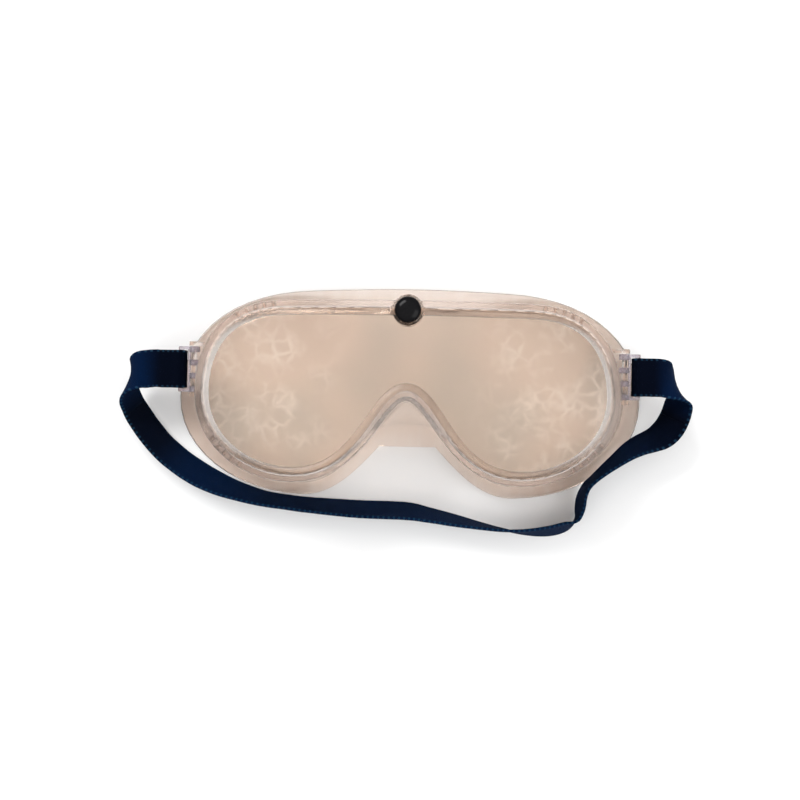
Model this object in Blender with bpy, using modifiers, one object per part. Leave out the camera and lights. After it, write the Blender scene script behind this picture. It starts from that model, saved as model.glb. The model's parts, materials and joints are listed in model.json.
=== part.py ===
"""Safety goggles: a soft clear frame, a sprung-in lens, a lens stud, hinged strap clips and an elastic strap.

The goggles lie on their face flange with the lens up: +Z points out through the lens, +Y to the
forehead side and +X to the right of the drawing. Z = 0 is the table. Sizes are in metres.
"""
import math

import bmesh
import bpy
from mathutils import Matrix, Vector

# ---------------------------------------------------------------- sizes

# Face flange: the outline that meets the face.
FLANGE_HALF_WIDTH = 0.0945
FLANGE_TOP_Y = 0.0420
FLANGE_BOTTOM_Y = -0.0420
FLANGE_NOSE_Y = -0.0214
FLANGE_NOSE_FLAT = 0.0113
FLANGE_NOSE_DROP = 0.0100
FLANGE_THICKNESS = 0.0020
FLANGE_LIP = 0.0046
BROW_RISE = 0.0100
REST_START_X = 0.0660

# Lens opening in the front of the frame.
OPENING_HALF_WIDTH = 0.0752
OPENING_TOP_Y = 0.0288
OPENING_BOTTOM_Y = -0.0287
OPENING_NOSE_Y = 0.0036

# Front rim around the lens and the groove that holds it.
RIM_WIDTH = 0.0056
RIM_NOSE_EXTRA = 0.0012
RIM_NOSE_REACH = 0.0300
RIM_DEPTH = 0.0080
LIP_THICKNESS = 0.0014
GROOVE_DEPTH = 0.0030
LEDGE_THICKNESS = 0.0015
WALL = 0.0020
FRONT_Z = 0.0460
FRONT_BEND_RADIUS = 0.4700

# Lens sheet.
LENS_THICKNESS = 0.0012
LENS_CLEARANCE = 0.0003

# Stud that pins the lens tab to the frame.
STUD_OFFSET = 0.0020
STUD_HEAD_RADIUS = 0.0049
STUD_HEAD_HEIGHT = 0.0026
STUD_SHANK_RADIUS = 0.0020
STUD_CLEARANCE = 0.0003
BOSS_RADIUS = 0.0058
BOSS_HEIGHT = 0.0094
BOSS_STEP = 0.0003
TAB_RADIUS = 0.0046
RING_RADIUS = 0.0042
RING_THICKNESS = 0.0016

# Hinge of the strap clips, on the temple walls.
HINGE_WALL_GAP = 0.0003
HINGE_Y = 0.0080
HINGE_Z = 0.0200
HINGE_PIN_RADIUS = 0.0010
HINGE_CLEARANCE = 0.0003
KNUCKLE_WALL = 0.0008
KNUCKLE_WIDTH = 0.0022
EAR_WIDTH = 0.0016
EAR_RADIUS = 0.0021
EAR_BITE = 0.0010

# Strap clip: a flat loop with one slot.
CLIP_THICKNESS = 0.0020
CLIP_INNER_BAR = 0.0009
CLIP_OUTER_BAR = 0.0018
CLIP_ARM = 0.0012
CLIP_SLOT_SPARE = 0.0004
CLIP_SNAP_MOUTH = 0.0016

# Elastic strap.
STRAP_WIDTH = 0.0150
STRAP_THICKNESS = 0.0012
STRAP_GAP = 0.0003
STRAP_TAIL = 0.0072
STRAP_JOIN = 0.0042

# Ventilation holes in the side walls.
VENT_RADIUS = 0.0007
VENT_PITCH = 0.0036
VENT_ROW_PITCH = 0.0036
VENT_COLUMNS = 5
VENT_ROWS = 2
VENT_Z = 0.0210

# Points along each of the four stretches of half an outline.
STEPS_NOSE = 16
STEPS_FLAT = 4
STEPS_LOBE = 12
STEPS_CORNER = 13
STEPS_TOP = 7
WALL_STEPS = 7

# ---------------------------------------------------------------- scene


def clear_scene():
    for item in list(bpy.data.objects):
        bpy.data.objects.remove(item, do_unlink=True)


def new_collection(name):
    made = bpy.data.collections.new(name)
    bpy.context.scene.collection.children.link(made)
    return made


def make_material(name, colour, roughness, metallic=0.0, transmission=0.0):
    material = bpy.data.materials.new(name)
    material.use_nodes = True
    shader = material.node_tree.nodes["Principled BSDF"]
    shader.inputs["Base Color"].default_value = (*colour, 1.0)
    shader.inputs["Roughness"].default_value = roughness
    shader.inputs["Metallic"].default_value = metallic
    shader.inputs["Transmission Weight"].default_value = transmission
    material.diffuse_color = (*colour, 1.0)
    return material


def add_object(name, mesh_data, collection, material=None, location=(0.0, 0.0, 0.0), turn=0.0):
    item = bpy.data.objects.new(name, mesh_data)
    collection.objects.link(item)
    item.location = location
    item.rotation_euler = (0.0, 0.0, turn)
    if material is not None:
        mesh_data.materials.append(material)
    return item


def mesh_from(name, work):
    bmesh.ops.recalc_face_normals(work, faces=work.faces)
    data = bpy.data.meshes.new(name)
    work.to_mesh(data)
    work.free()
    return data


def add_cutter(name, work, collection, location=(0.0, 0.0, 0.0), turn=0.0):
    item = add_object(name, mesh_from(name, work), collection, None, location, turn)
    item.hide_render = True
    item.display_type = "WIRE"
    return item


def add_boolean(target, tool, operation):
    modifier = target.modifiers.new(tool.name, "BOOLEAN")
    modifier.operation = operation
    modifier.solver = "EXACT"
    modifier.object = tool


# ---------------------------------------------------------------- solids


def add_block(work, low, high):
    centre = (Vector(low) + Vector(high)) / 2.0
    size = Vector(high) - Vector(low)
    place = Matrix.Translation(centre) @ Matrix.Diagonal((*size, 1.0))
    bmesh.ops.create_cube(work, size=1.0, matrix=place)


def add_rod(work, centre, axis, radius, length, sides=24):
    lean = Vector((0.0, 0.0, 1.0)).rotation_difference(Vector(axis)).to_matrix().to_4x4()
    place = Matrix.Translation(centre) @ lean
    sizes = {"segments": sides, "radius1": radius, "radius2": radius, "depth": length}
    bmesh.ops.create_cone(work, cap_ends=True, cap_tris=False, matrix=place, **sizes)


def turned_object(name, profile, collection, material, location, steps=40):
    """A solid turned about its own Z from (radius, height) points given from the top down the outside."""
    work = bmesh.new()
    points = [work.verts.new((radius, 0.0, height)) for radius, height in profile]
    for first, second in zip(points, points[1:]):
        work.edges.new((first, second))
    data = bpy.data.meshes.new(name)
    work.to_mesh(data)
    work.free()
    item = add_object(name, data, collection, material, location)
    screw = item.modifiers.new("turn", "SCREW")
    screw.axis = "Z"
    screw.angle = math.tau
    screw.steps = steps
    screw.render_steps = steps
    screw.use_merge_vertices = True
    screw.merge_threshold = 0.00001
    return item


# ---------------------------------------------------------------- outlines


def bezier(start, first, second, end, steps):
    """Points of a cubic curve, without its last one."""
    points = []
    for k in range(steps):
        t = k / steps
        s = 1.0 - t
        points.append(
            s * s * s * Vector(start)
            + 3.0 * s * s * t * Vector(first)
            + 3.0 * s * t * t * Vector(second)
            + t * t * t * Vector(end)
        )
    return points


def goggle_outline(
    half_width, top_y, bottom_y, nose_y, side_y, lobe_x, top_flat_x, bow, nose_reach, lobe_reach, corner, flat
):
    """A closed two-lobed outline that starts at the nose and runs up the +X side.

    flat is half the length of the straight edge under the nose, or none at all.
    """
    lobe = (lobe_x, bottom_y)
    side = (half_width, side_y)
    shoulder = (top_flat_x, top_y - bow)
    crown = (0.0, top_y)
    circle = 0.5523
    level = STEPS_FLAT if flat > 0.0 else 0
    half = [Vector((flat * k / level, nose_y)) for k in range(level)]
    steepness = FLANGE_NOSE_DROP if flat > 0.0 else 0.0
    half += bezier(
        (flat, nose_y),
        (flat + nose_reach, nose_y - steepness),
        (lobe_x - lobe_reach, bottom_y),
        lobe,
        STEPS_NOSE - level,
    )
    half += bezier(
        lobe,
        (lobe_x + circle * (half_width - lobe_x), bottom_y),
        (half_width, side_y - circle * (side_y - bottom_y)),
        side,
        STEPS_LOBE,
    )
    half += bezier(
        side,
        (half_width, side_y + corner * (top_y - side_y)),
        (top_flat_x + corner * (half_width - top_flat_x), top_y - bow * 2.0),
        shoulder,
        STEPS_CORNER,
    )
    half += bezier(
        shoulder,
        (top_flat_x * 2.0 / 3.0, top_y - bow / 3.0),
        (top_flat_x / 3.0, top_y),
        crown,
        STEPS_TOP,
    )
    points = half + [Vector(crown)]
    points += [Vector((-p.x, p.y)) for p in reversed(half[1:])]
    return points


def offset_outline(points, distance):
    """The closed outline moved sideways, outward for a positive distance."""
    moved = []
    count = len(points)
    for k, point in enumerate(points):
        along = points[(k + 1) % count] - points[k - 1]
        outward = Vector((along.y, -along.x)).normalized()
        moved.append(point + outward * distance)
    return moved


def flange_outline():
    return goggle_outline(
        FLANGE_HALF_WIDTH, FLANGE_TOP_Y, FLANGE_BOTTOM_Y, FLANGE_NOSE_Y,
        side_y=-0.0030, lobe_x=0.0430, top_flat_x=0.0400, bow=0.0005,
        nose_reach=0.0090, lobe_reach=0.0130, corner=0.6000, flat=FLANGE_NOSE_FLAT,
    )


def opening_outline():
    return goggle_outline(
        OPENING_HALF_WIDTH, OPENING_TOP_Y, OPENING_BOTTOM_Y, OPENING_NOSE_Y,
        side_y=-0.0010, lobe_x=0.0430, top_flat_x=0.0470, bow=0.0004,
        nose_reach=0.0145, lobe_reach=0.0260, corner=0.6300, flat=0.0,
    )


def rim_outline(inset=0.0):
    """The rim's outer edge moved inward: the rim is widest under the nose."""
    opening = opening_outline()
    plain = offset_outline(opening, RIM_WIDTH - inset)
    wide = offset_outline(opening, RIM_WIDTH + RIM_NOSE_EXTRA - inset)
    count = len(opening)
    moved = []
    for k, (near, far) in enumerate(zip(plain, wide)):
        reach = min(1.0, abs(opening[k].x) / RIM_NOSE_REACH)
        below = k < STEPS_NOSE or k > count - STEPS_NOSE
        share = 0.5 * (1.0 + math.cos(math.pi * reach)) if below else 0.0
        moved.append(near.lerp(far, share))
    return moved


def front_height(x):
    """Height of the rim's front face, which bends back towards the temples."""
    return FRONT_Z - x * x / (2.0 * FRONT_BEND_RADIUS)


def back_height(x):
    """Height of the flange's underside: flat at the temples and raised over the brow and the nose."""
    if abs(x) >= REST_START_X:
        return 0.0
    return BROW_RISE * 0.5 * (1.0 + math.cos(math.pi * x / REST_START_X))


# ---------------------------------------------------------------- frame


def back_ring(points, above):
    return [Vector((p.x, p.y, back_height(p.x) + above)) for p in points]


def front_ring(points, below):
    return [Vector((p.x, p.y, front_height(p.x) - below)) for p in points]


def blend_rings(low, high, share):
    """Between the flange and the rim: the wall flares most where it nears the flange."""
    sideways = 1.0 - (1.0 - share) ** 1.8
    blended = []
    for a, b in zip(low, high):
        level = a.z + (b.z - a.z) * share
        blended.append(Vector((a.x + (b.x - a.x) * sideways, a.y + (b.y - a.y) * sideways, level)))
    return blended


def outer_wall_ends():
    low = back_ring(offset_outline(flange_outline(), -FLANGE_LIP), FLANGE_THICKNESS)
    high = front_ring(rim_outline(), RIM_DEPTH)
    return low, high


def inner_wall_ends():
    low = back_ring(offset_outline(flange_outline(), -FLANGE_LIP - WALL), FLANGE_THICKNESS * 0.4)
    high = front_ring(rim_outline(WALL), lens_seat_depth() + LEDGE_THICKNESS * 1.6)
    return low, high


def lens_seat_depth():
    """Depth of the ledge that the lens lies on, under the rim's front face."""
    return LIP_THICKNESS + LENS_THICKNESS + 2.0 * LENS_CLEARANCE


def frame_rings():
    flange = flange_outline()
    opening = opening_outline()
    edge = 0.0005
    seat = lens_seat_depth()
    rings = [
        back_ring(offset_outline(flange, -edge), 0.0),
        back_ring(flange, edge),
        back_ring(flange, FLANGE_THICKNESS - edge),
        back_ring(offset_outline(flange, -edge), FLANGE_THICKNESS),
    ]
    low, high = outer_wall_ends()
    for k in range(WALL_STEPS):
        rings.append(blend_rings(low, high, k / WALL_STEPS))
    rings += [
        high,
        front_ring(rim_outline(), edge * 1.6),
        front_ring(rim_outline(edge * 0.5), edge * 0.5),
        front_ring(rim_outline(edge * 1.6), 0.0),
        front_ring(offset_outline(opening, edge), 0.0),
        front_ring(opening, edge),
        front_ring(opening, LIP_THICKNESS),
        front_ring(offset_outline(opening, GROOVE_DEPTH), LIP_THICKNESS),
        front_ring(offset_outline(opening, GROOVE_DEPTH), seat),
        front_ring(offset_outline(opening, edge), seat),
        front_ring(offset_outline(opening, edge), seat + LEDGE_THICKNESS),
    ]
    low, high = inner_wall_ends()
    for k in range(WALL_STEPS):
        rings.append(blend_rings(low, high, 1.0 - k / WALL_STEPS))
    rings.append(back_ring(offset_outline(flange, -FLANGE_LIP - WALL), 0.0))
    return rings


def loft_rings(rings):
    """A closed tube of section: the last ring joins the first."""
    work = bmesh.new()
    rows = [[work.verts.new(point) for point in ring] for ring in rings]
    count = len(rows[0])
    for k, row in enumerate(rows):
        after = rows[(k + 1) % len(rows)]
        for j in range(count):
            i = (j + 1) % count
            work.faces.new((row[j], row[i], after[i], after[j]))
    return work


def stud_place():
    """Centre of the stud on the rim's front face."""
    return Vector((0.0, OPENING_TOP_Y + STUD_OFFSET, FRONT_Z + BOSS_STEP))


def add_lens_boss(frame, cutters):
    place = stud_place()
    work = bmesh.new()
    add_rod(work, place - Vector((0.0, 0.0, BOSS_HEIGHT / 2.0)), (0.0, 0.0, 1.0), BOSS_RADIUS, BOSS_HEIGHT, 40)
    add_boolean(frame, add_cutter("lens_boss_body", work, cutters), "UNION")

    top = FRONT_Z - LIP_THICKNESS
    bottom = FRONT_Z - lens_seat_depth()
    work = bmesh.new()
    middle = Vector((0.0, place.y, (top + bottom) / 2.0))
    add_rod(work, middle, (0.0, 0.0, 1.0), TAB_RADIUS + LENS_CLEARANCE, top - bottom, 36)
    add_boolean(frame, add_cutter("lens_tab_pocket", work, cutters), "DIFFERENCE")
    work = bmesh.new()
    reach = BOSS_RADIUS + 0.0012
    low = (-reach, OPENING_TOP_Y - BOSS_RADIUS, bottom - 0.00002)
    high = (reach, OPENING_TOP_Y + GROOVE_DEPTH + 0.00005, top + 0.00002)
    add_block(work, low, high)
    add_boolean(frame, add_cutter("lens_boss_slit", work, cutters), "DIFFERENCE")

    work = bmesh.new()
    deep = place - Vector((0.0, 0.0, BOSS_HEIGHT / 2.0))
    add_rod(work, deep, (0.0, 0.0, 1.0), STUD_SHANK_RADIUS + STUD_CLEARANCE, BOSS_HEIGHT * 1.4, 32)
    add_boolean(frame, add_cutter("stud_bore", work, cutters), "DIFFERENCE")
    work = bmesh.new()
    pocket = RING_THICKNESS + 2.0 * STUD_CLEARANCE
    low_end = place - Vector((0.0, 0.0, BOSS_HEIGHT - pocket / 2.0 + 0.0005))
    add_rod(work, low_end, (0.0, 0.0, 1.0), RING_RADIUS + STUD_CLEARANCE, pocket + 0.0010, 36)
    add_boolean(frame, add_cutter("stud_ring_pocket", work, cutters), "DIFFERENCE")


def wall_reach(y, level):
    """How far out the wall's outer face stands on the +X side at a given Y and height."""
    low, high = outer_wall_ends()
    best = 0.0
    for a, b in zip(low, high):
        if a.x <= 0.0 or not a.z < level < b.z:
            continue
        share = (level - a.z) / (b.z - a.z)
        point = blend_rings([a], [b], share)[0]
        if abs(point.y - y) < 0.0025:
            best = max(best, point.x)
    return best


def clip_half_width():
    return STRAP_WIDTH / 2.0 + STRAP_GAP + CLIP_ARM


def knuckle_radius():
    return HINGE_PIN_RADIUS + HINGE_CLEARANCE + KNUCKLE_WALL


def hinge_x():
    """Distance of the hinge bars from the middle, to a tenth of a millimetre: clear of the wall all along."""
    reach = 0.0
    for step in range(-4, 5):
        y = HINGE_Y + clip_half_width() * step / 4.0
        for degrees in range(-90, 91, 15):
            angle = math.radians(degrees)
            level = HINGE_Z + knuckle_radius() * math.sin(angle)
            reach = max(reach, wall_reach(y, level) + knuckle_radius() * math.cos(angle))
    return math.ceil((reach + HINGE_WALL_GAP) * 10000.0) / 10000.0


def ear_offset():
    return clip_half_width() + HINGE_CLEARANCE + EAR_WIDTH / 2.0


def add_hinge_ears(frame, side, cutters):
    """Two ears on a temple wall with the moulded bar between them that the clip snaps on to."""
    work = bmesh.new()
    for end in (-1.0, 1.0):
        y = HINGE_Y + end * ear_offset()
        foot = wall_reach(y, HINGE_Z) - EAR_BITE
        xs = sorted((side * foot, side * hinge_x()))
        add_rod(work, (side * hinge_x(), y, HINGE_Z), (0.0, 1.0, 0.0), EAR_RADIUS, EAR_WIDTH, 24)
        name = "hinge_ear_" + ("right" if side > 0 else "left") + ("_top" if end > 0 else "_bottom")
        block = bmesh.new()
        low = (xs[0], y - EAR_WIDTH / 2.0 + 0.0001, HINGE_Z - EAR_RADIUS * 0.9)
        high = (xs[1], y + EAR_WIDTH / 2.0 - 0.0001, HINGE_Z + EAR_RADIUS * 0.9)
        add_block(block, low, high)
        add_boolean(frame, add_cutter(name + "_web", block, cutters), "UNION")
    name = "hinge_ends_" + ("right" if side > 0 else "left")
    add_boolean(frame, add_cutter(name, work, cutters), "UNION")
    work = bmesh.new()
    length = 2.0 * ear_offset() + EAR_WIDTH * 0.5
    add_rod(work, (side * hinge_x(), HINGE_Y, HINGE_Z), (0.0, 1.0, 0.0), HINGE_PIN_RADIUS, length, 20)
    name = "hinge_bar_" + ("right" if side > 0 else "left")
    add_boolean(frame, add_cutter(name, work, cutters), "UNION")


def add_vents(frame, cutters):
    """Four fields of small round holes through the wall, at the outer ends of the top and bottom."""
    low, high = outer_wall_ends()
    share = (VENT_Z - FLANGE_THICKNESS) / (FRONT_Z - RIM_DEPTH - FLANGE_THICKNESS)
    middle = blend_rings(low, high, share)
    count = len(middle)
    lobe_middle = STEPS_NOSE + STEPS_LOBE // 2
    corner_middle = STEPS_NOSE + STEPS_LOBE + STEPS_CORNER - 3
    work = bmesh.new()
    for centre in (lobe_middle, corner_middle, count - lobe_middle, count - corner_middle):
        point = middle[centre]
        along = (middle[(centre + 1) % count] - middle[centre - 1])
        along.z = 0.0
        along.normalize()
        outward = Vector((along.y, -along.x, 0.0))
        for column in range(VENT_COLUMNS):
            for row in range(VENT_ROWS):
                shift = along * VENT_PITCH * (column - (VENT_COLUMNS - 1) / 2.0)
                rise = Vector((0.0, 0.0, VENT_ROW_PITCH * (row - (VENT_ROWS - 1) / 2.0)))
                add_rod(work, point + shift + rise, outward, VENT_RADIUS, WALL * 7.0, 8)
    add_boolean(frame, add_cutter("vent_holes", work, cutters), "DIFFERENCE")


def build_frame(parts, cutters, material):
    frame = add_object("frame_body", mesh_from("frame_body", loft_rings(frame_rings())), parts, material)
    add_lens_boss(frame, cutters)
    for side in (-1.0, 1.0):
        add_hinge_ears(frame, side, cutters)
    add_vents(frame, cutters)
    return frame


# ---------------------------------------------------------------- lens and stud


def build_lens(parts, cutters, material):
    """A thin sheet cut to the groove, with a tab under the stud, bent to the rim's curve."""
    outline = offset_outline(opening_outline(), GROOVE_DEPTH - LENS_CLEARANCE)
    top = -LIP_THICKNESS - LENS_CLEARANCE
    work = bmesh.new()
    work.faces.new([work.verts.new((p.x, p.y, top)) for p in outline])
    sheet = bmesh.ops.extrude_face_region(work, geom=work.faces[:])
    lower = [v for v in sheet["geom"] if isinstance(v, bmesh.types.BMVert)]
    bmesh.ops.translate(work, verts=lower, vec=(0.0, 0.0, -LENS_THICKNESS))
    strips = 16
    for k in range(1, strips):
        x = OPENING_HALF_WIDTH * (2.0 * k / strips - 1.0)
        geometry = work.verts[:] + work.edges[:] + work.faces[:]
        bmesh.ops.bisect_plane(work, geom=geometry, plane_co=(x + 0.00013, 0.0, 0.0), plane_no=(1.0, 0.0, 0.0))
    for vert in work.verts:
        vert.co.z += front_height(vert.co.x)
    bmesh.ops.triangulate(work, faces=work.faces[:])
    lens = add_object("lens", mesh_from("lens", work), parts, material)

    place = stud_place()
    middle = Vector((0.0, place.y, FRONT_Z + top - LENS_THICKNESS / 2.0))
    work = bmesh.new()
    add_rod(work, middle, (0.0, 0.0, 1.0), TAB_RADIUS, LENS_THICKNESS, 36)
    add_boolean(lens, add_cutter("lens_tab", work, cutters), "UNION")
    work = bmesh.new()
    add_rod(work, middle, (0.0, 0.0, 1.0), STUD_SHANK_RADIUS + STUD_CLEARANCE, LENS_THICKNESS * 4.0, 32)
    add_boolean(lens, add_cutter("lens_stud_hole", work, cutters), "DIFFERENCE")
    return lens


def build_stud(parts, material):
    """Domed head and plain shank, turned in one piece."""
    head = STUD_HEAD_RADIUS
    rise = STUD_HEAD_HEIGHT
    profile = []
    for k in range(9):
        angle = math.pi / 2.0 * (1.0 - k / 8.0)
        profile.append((head * math.cos(angle), 0.0006 + (rise - 0.0006) * math.sin(angle)))
    profile[0] = (0.0, rise)
    profile += [
        (head, 0.0002),
        (head - 0.0003, 0.0),
        (STUD_SHANK_RADIUS, 0.0),
        (STUD_SHANK_RADIUS, -BOSS_HEIGHT),
        (STUD_SHANK_RADIUS * 0.6, -BOSS_HEIGHT - 0.0008),
        (0.0, -BOSS_HEIGHT - 0.0008),
    ]
    return turned_object("stud", profile, parts, material, stud_place() + Vector((0.0, 0.0, STUD_CLEARANCE)))


def build_stud_ring(parts, material):
    """Retaining ring on the back of the stud."""
    bore = STUD_SHANK_RADIUS + STUD_CLEARANCE
    half = RING_THICKNESS / 2.0
    edge = 0.0002
    profile = [
        (bore, half), (RING_RADIUS - edge, half), (RING_RADIUS, half - edge),
        (RING_RADIUS, edge - half), (RING_RADIUS - edge, -half), (bore, -half), (bore, half),
    ]
    pocket = RING_THICKNESS + 2.0 * STUD_CLEARANCE
    place = stud_place() - Vector((0.0, 0.0, BOSS_HEIGHT - pocket / 2.0))
    return turned_object("stud_ring", profile, parts, material, place, 36)


# ---------------------------------------------------------------- clips


def clip_slot():
    """Inner and outer edge of the slot, measured outward from the hinge."""
    inner = knuckle_radius() - 0.0006 + CLIP_INNER_BAR
    return inner, inner + STRAP_THICKNESS + 2.0 * CLIP_SLOT_SPARE


def build_clip(name, side, parts, cutters, material):
    """A flat loop with four knuckles that snap on to the hinge bar; its own +X points outward."""
    slot_in, slot_out = clip_slot()
    place = (side * hinge_x(), HINGE_Y, HINGE_Z)
    turn = 0.0 if side > 0 else math.pi
    half = clip_half_width()
    work = bmesh.new()
    low = (slot_in - CLIP_INNER_BAR, -half, -CLIP_THICKNESS / 2.0)
    add_block(work, low, (slot_out + CLIP_OUTER_BAR, half, CLIP_THICKNESS / 2.0))
    clip = add_object(name, mesh_from(name, work), parts, material, place, turn)
    bevel = clip.modifiers.new("soft_edges", "BEVEL")
    bevel.width = 0.0004
    bevel.segments = 2
    bevel.limit_method = "ANGLE"

    work = bmesh.new()
    slot_half = half - CLIP_ARM
    add_block(work, (slot_in, -slot_half, -CLIP_THICKNESS), (slot_out, slot_half, CLIP_THICKNESS))
    add_boolean(clip, add_cutter(name + "_slot", work, cutters, place, turn), "DIFFERENCE")

    work = bmesh.new()
    outer = half - KNUCKLE_WIDTH / 2.0
    for share in (-1.0, -1.0 / 3.0, 1.0 / 3.0, 1.0):
        add_rod(work, (0.0, share * outer, 0.0), (0.0, 1.0, 0.0), knuckle_radius(), KNUCKLE_WIDTH, 24)
    add_boolean(clip, add_cutter(name + "_knuckles", work, cutters, place, turn), "UNION")

    work = bmesh.new()
    add_rod(work, (0.0, 0.0, 0.0), (0.0, 1.0, 0.0), HINGE_PIN_RADIUS + HINGE_CLEARANCE, half * 2.2, 24)
    add_boolean(clip, add_cutter(name + "_bore", work, cutters, place, turn), "DIFFERENCE")
    work = bmesh.new()
    mouth = CLIP_SNAP_MOUTH / 2.0
    add_block(work, (-knuckle_radius() - 0.001, -half * 1.1, -mouth), (0.0, half * 1.1, mouth))
    add_boolean(clip, add_cutter(name + "_snap_mouth", work, cutters, place, turn), "DIFFERENCE")
    return clip


# ---------------------------------------------------------------- strap

# Middle line of the free strap from one sewn end to the other, from left to right, in millimetres, each
# point with the direction from the strap's upper selvedge to its lower one. Beside each clip the strap
# folds down and back under itself.
STRAP_ROUTE = (
    ((-98.0, 8.0, 20.75), (0.00, -1.00, 0.00)),
    ((-101.4, 8.0, 20.7), (0.00, -1.00, 0.00)),
    ((-106.6, 7.2, 20.2), (-0.22, -0.97, 0.02)),
    ((-109.8, 5.0, 18.8), (-0.26, -0.95, 0.12)),
    ((-111.8, 2.3, 16.4), (-0.25, -0.88, 0.38)),
    ((-112.8, -0.4, 13.8), (-0.23, -0.74, 0.62)),
    ((-112.9, -3.0, 11.7), (-0.22, -0.60, 0.77)),
    ((-112.4, -5.2, 10.4), (-0.23, -0.51, 0.83)),
    ((-111.3, -8.0, 9.3), (-0.27, -0.45, 0.85)),
    ((-109.2, -11.6, 8.4), (-0.31, -0.43, 0.85)),
    ((-106.2, -16.0, 7.9), (-0.32, -0.44, 0.84)),
    ((-102.3, -20.9, 7.5), (-0.28, -0.47, 0.84)),
    ((-97.8, -25.4, 7.3), (-0.24, -0.51, 0.82)),
    ((-91.6, -30.3, 7.1), (-0.18, -0.54, 0.82)),
    ((-84.4, -34.7, 7.1), (-0.12, -0.54, 0.83)),
    ((-77.5, -38.0, 7.3), (-0.08, -0.48, 0.87)),
    ((-70.0, -40.7, 7.6), (-0.06, -0.38, 0.92)),
    ((-59.0, -43.6, 8.0), (-0.06, -0.28, 0.96)),
    ((-49.0, -45.0, 8.0), (-0.04, -0.26, 0.97)),
    ((-39.2, -46.0, 8.0), (-0.03, -0.28, 0.96)),
    ((-19.6, -47.2, 7.9), (-0.01, -0.34, 0.94)),
    ((-0.1, -47.6, 7.9), (-0.02, -0.34, 0.94)),
    ((9.7, -49.1, 8.0), (-0.04, -0.26, 0.97)),
    ((19.5, -50.9, 8.1), (-0.04, -0.18, 0.98)),
    ((29.2, -52.7, 8.2), (-0.02, -0.06, 1.00)),
    ((39.0, -54.3, 8.2), (0.00, 0.06, 1.00)),
    ((48.7, -55.0, 8.1), (-0.01, 0.22, 0.97)),
    ((58.0, -54.4, 7.9), (-0.06, 0.34, 0.94)),
    ((64.6, -52.5, 7.9), (-0.16, 0.30, 0.94)),
    ((68.9, -49.6, 8.2), (-0.06, 0.06, 1.00)),
    ((69.9, -46.0, 8.3), (0.06, 0.02, 1.00)),
    ((70.5, -42.4, 8.6), (0.10, 0.00, 0.99)),
    ((71.4, -38.8, 9.2), (0.06, 0.00, 1.00)),
    ((73.0, -35.4, 9.9), (0.02, -0.02, 1.00)),
    ((75.8, -32.4, 10.4), (0.00, -0.06, 1.00)),
    ((79.6, -29.0, 10.6), (0.02, -0.12, 0.99)),
    ((84.6, -24.9, 10.7), (0.06, -0.22, 0.97)),
    ((89.4, -21.2, 10.8), (0.10, -0.34, 0.93)),
    ((93.4, -18.9, 10.9), (0.16, -0.40, 0.90)),
    ((97.4, -17.2, 11.1), (0.28, -0.42, 0.86)),
    ((101.2, -15.2, 11.4), (0.44, -0.42, 0.79)),
    ((104.4, -12.0, 11.7), (0.52, -0.36, 0.77)),
    ((106.6, -7.8, 12.0), (0.54, -0.32, 0.78)),
    ((107.8, -3.4, 12.8), (0.50, -0.38, 0.78)),
    ((108.2, -0.4, 13.4), (0.40, -0.56, 0.73)),
    ((107.4, 2.6, 14.8), (0.31, -0.76, 0.56)),
    ((105.4, 5.2, 17.0), (0.26, -0.90, 0.32)),
    ((102.6, 6.9, 19.2), (0.20, -0.97, 0.10)),
    ((100.0, 7.9, 20.4), (0.06, -1.00, 0.00)),
    ((97.6, 8.0, 20.75), (0.00, -1.00, 0.00)),
)
ROUTE_STEPS = 2

# Sizes that the route was laid out for. It widens with the clips or the flange, whichever needs more,
# deepens with the flange, and a wider strap stands higher on its lower selvedge.
ROUTE_STRAP_START_X = 0.0956
ROUTE_FLANGE_HALF_WIDTH = 0.0945
ROUTE_FLANGE_BOTTOM_Y = -0.0420
ROUTE_STRAP_WIDTH = 0.0150


def strap_start_x():
    """Where the free strap begins, beyond the sewn end that holds the clip."""
    return hinge_x() + clip_slot()[1] + CLIP_OUTER_BAR + STRAP_JOIN + STRAP_GAP


def route_stations():
    """The chosen route, carried along with the clips, the flange and the strap's width."""
    wide = max(strap_start_x() / ROUTE_STRAP_START_X, FLANGE_HALF_WIDTH / ROUTE_FLANGE_HALF_WIDTH)
    deep = FLANGE_BOTTOM_Y / ROUTE_FLANGE_BOTTOM_Y
    taller = (STRAP_WIDTH - ROUTE_STRAP_WIDTH) / 2.0
    stations = []
    for centre, direction in STRAP_ROUTE:
        across = Vector(direction).normalized()
        x, y, z = Vector(centre) * 0.001
        stations.append((Vector((x * wide, y * deep, z + taller * abs(across.z))), across))
    return stations


def curve_between(before, start, end, after, share):
    """A point of the smooth curve that passes through the middle two of four points."""
    s = share
    return 0.5 * (
        2.0 * start
        + (end - before) * s
        + (2.0 * before - 5.0 * start + 4.0 * end - after) * s * s
        + (3.0 * start - before - 3.0 * end + after) * s * s * s
    )


def smooth_stations(stations, steps):
    """Stations of centre and width direction read from smooth curves through the given ones."""
    smooth = []
    last = len(stations) - 1
    for k in range(last):
        around = [stations[max(0, min(last, k + j))] for j in (-1, 0, 1, 2)]
        for step in range(steps):
            share = step / steps
            smooth.append(tuple(curve_between(*[place[part] for place in around], share) for part in (0, 1)))
    smooth.append(stations[-1])
    return smooth


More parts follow.
